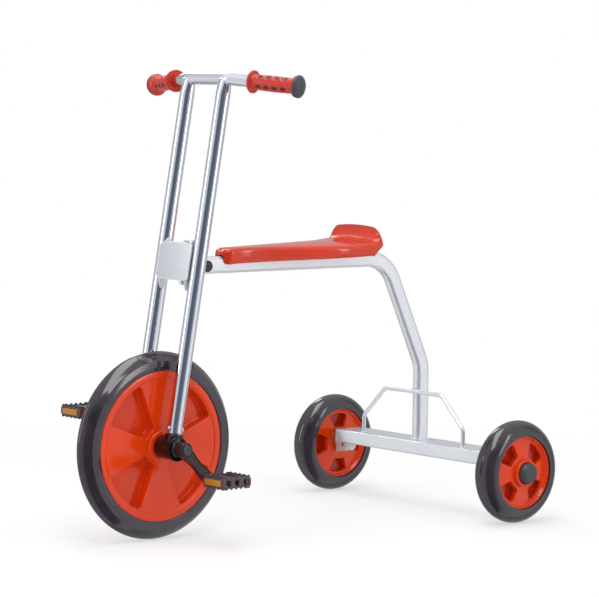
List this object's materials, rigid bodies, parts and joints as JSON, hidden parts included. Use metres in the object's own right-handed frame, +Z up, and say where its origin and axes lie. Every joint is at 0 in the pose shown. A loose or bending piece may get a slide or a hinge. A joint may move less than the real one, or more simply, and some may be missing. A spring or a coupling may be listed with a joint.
{
  "type": "pedal tricycle",
  "caption": "Child's pedal tricycle with a tall tubular steering fork, bent tube frame, moulded seat, solid tyres on moulded disc wheels and a rear step beam.",
  "frame": {"origin": "on the floor, under the centre of the tricycle's bounding box, midway between the front of the front tyre and the back of the rear tyres", "axes": "+Z up, +Y towards the back of the tricycle (the front wheel is at -Y), +X towards the rider's left"},
  "size_m": [0.63, 0.971, 0.8819],
  "materials": {
    "zinc": "bright zinc plate, satin",
    "hardware": "zinc-plated fasteners",
    "steel": "plain turned steel",
    "chrome": "mirror chrome plate",
    "red_plastic": "glossy moulded red",
    "tyre": "smooth satin black rubber",
    "black_plastic": "moulded black, satin",
    "grey_plastic": "moulded dark grey, satin",
    "stop_rubber": "black rubber buffer",
    "nylon": "natural nylon",
    "reflector": "amber prismatic lens"
  },
  "bodies": {
    "frame": {"backbone_tube": "zinc", "head_tube": "zinc", "head_bush_upper": "nylon", "head_bush_lower": "nylon", "steering_stop_left": "stop_rubber", "steering_stop_right": "stop_rubber", "rear_beam": "zinc", "beam_plug_left": "black_plastic", "beam_plug_right": "black_plastic", "hoop_rail": "zinc", "seat_shell": "red_plastic", "seat_bracket_front": "zinc", "seat_bracket_rear": "zinc", "seat_screw_front": "hardware", "seat_screw_rear": "hardware", "axle_saddle_left": "zinc", "axle_saddle_right": "zinc", "saddle_bolt_left": "hardware", "saddle_bolt_right": "hardware", "rear_stub_left": "steel", "rear_stub_right": "steel"},
    "fork": {"fork_leg_left": "chrome", "fork_leg_right": "chrome", "leg_bolt_left": "hardware", "leg_bolt_right": "hardware", "handlebar": "chrome", "grip_left": "red_plastic", "grip_right": "red_plastic", "grip_end_left": "grey_plastic", "grip_end_right": "grey_plastic", "head_bracket": "zinc", "pivot_bolt": "hardware", "pivot_nut": "hardware", "bearing_housing_left": "black_plastic", "bearing_housing_right": "black_plastic", "hub_bearing_left": "steel", "hub_bearing_right": "steel"},
    "front_wheel": {"front_tyre": "tyre", "front_disc": "red_plastic", "front_axle": "steel", "crank_left": "black_plastic", "crank_right": "black_plastic", "crank_cap_left": "grey_plastic", "crank_cap_right": "grey_plastic", "pedal_spindle_left": "steel", "pedal_spindle_right": "steel"},
    "left_pedal": {"pedal_left": "black_plastic", "reflector_left_front": "reflector", "reflector_left_rear": "reflector"},
    "right_pedal": {"pedal_right": "black_plastic", "reflector_right_front": "reflector", "reflector_right_rear": "reflector"},
    "left_wheel": {"rear_tyre_left": "tyre", "rear_disc_left": "red_plastic", "rear_bush_left": "nylon", "rear_cap_left": "grey_plastic"},
    "right_wheel": {"rear_tyre_right": "tyre", "rear_disc_right": "red_plastic", "rear_bush_right": "nylon", "rear_cap_right": "grey_plastic"}
  },
  "joints": [
    {"name": "steering", "type": "hinge", "parent": "frame", "child": "fork", "pos_m": [0, -0.29617, 0.17548], "axis": [0, 0.1685, 0.9857], "range_deg": [-50, 50]},
    {"name": "front_wheel_spin", "type": "hinge", "parent": "fork", "child": "front_wheel", "pos_m": [0, -0.308, 0.1775], "axis": [1, 0, 0], "continuous": true},
    {"name": "left_pedal_spin", "type": "hinge", "parent": "front_wheel", "child": "left_pedal", "pos_m": [0.163, -0.26429, 0.12541], "axis": [1, 0, 0], "continuous": true},
    {"name": "right_pedal_spin", "type": "hinge", "parent": "front_wheel", "child": "right_pedal", "pos_m": [-0.163, -0.35171, 0.22959], "axis": [1, 0, 0], "continuous": true},
    {"name": "left_wheel_spin", "type": "hinge", "parent": "frame", "child": "left_wheel", "pos_m": [0.271, 0.384, 0.1015], "axis": [1, 0, 0], "continuous": true},
    {"name": "right_wheel_spin", "type": "hinge", "parent": "frame", "child": "right_wheel", "pos_m": [-0.271, 0.384, 0.1015], "axis": [1, 0, 0], "continuous": true}
  ]
}
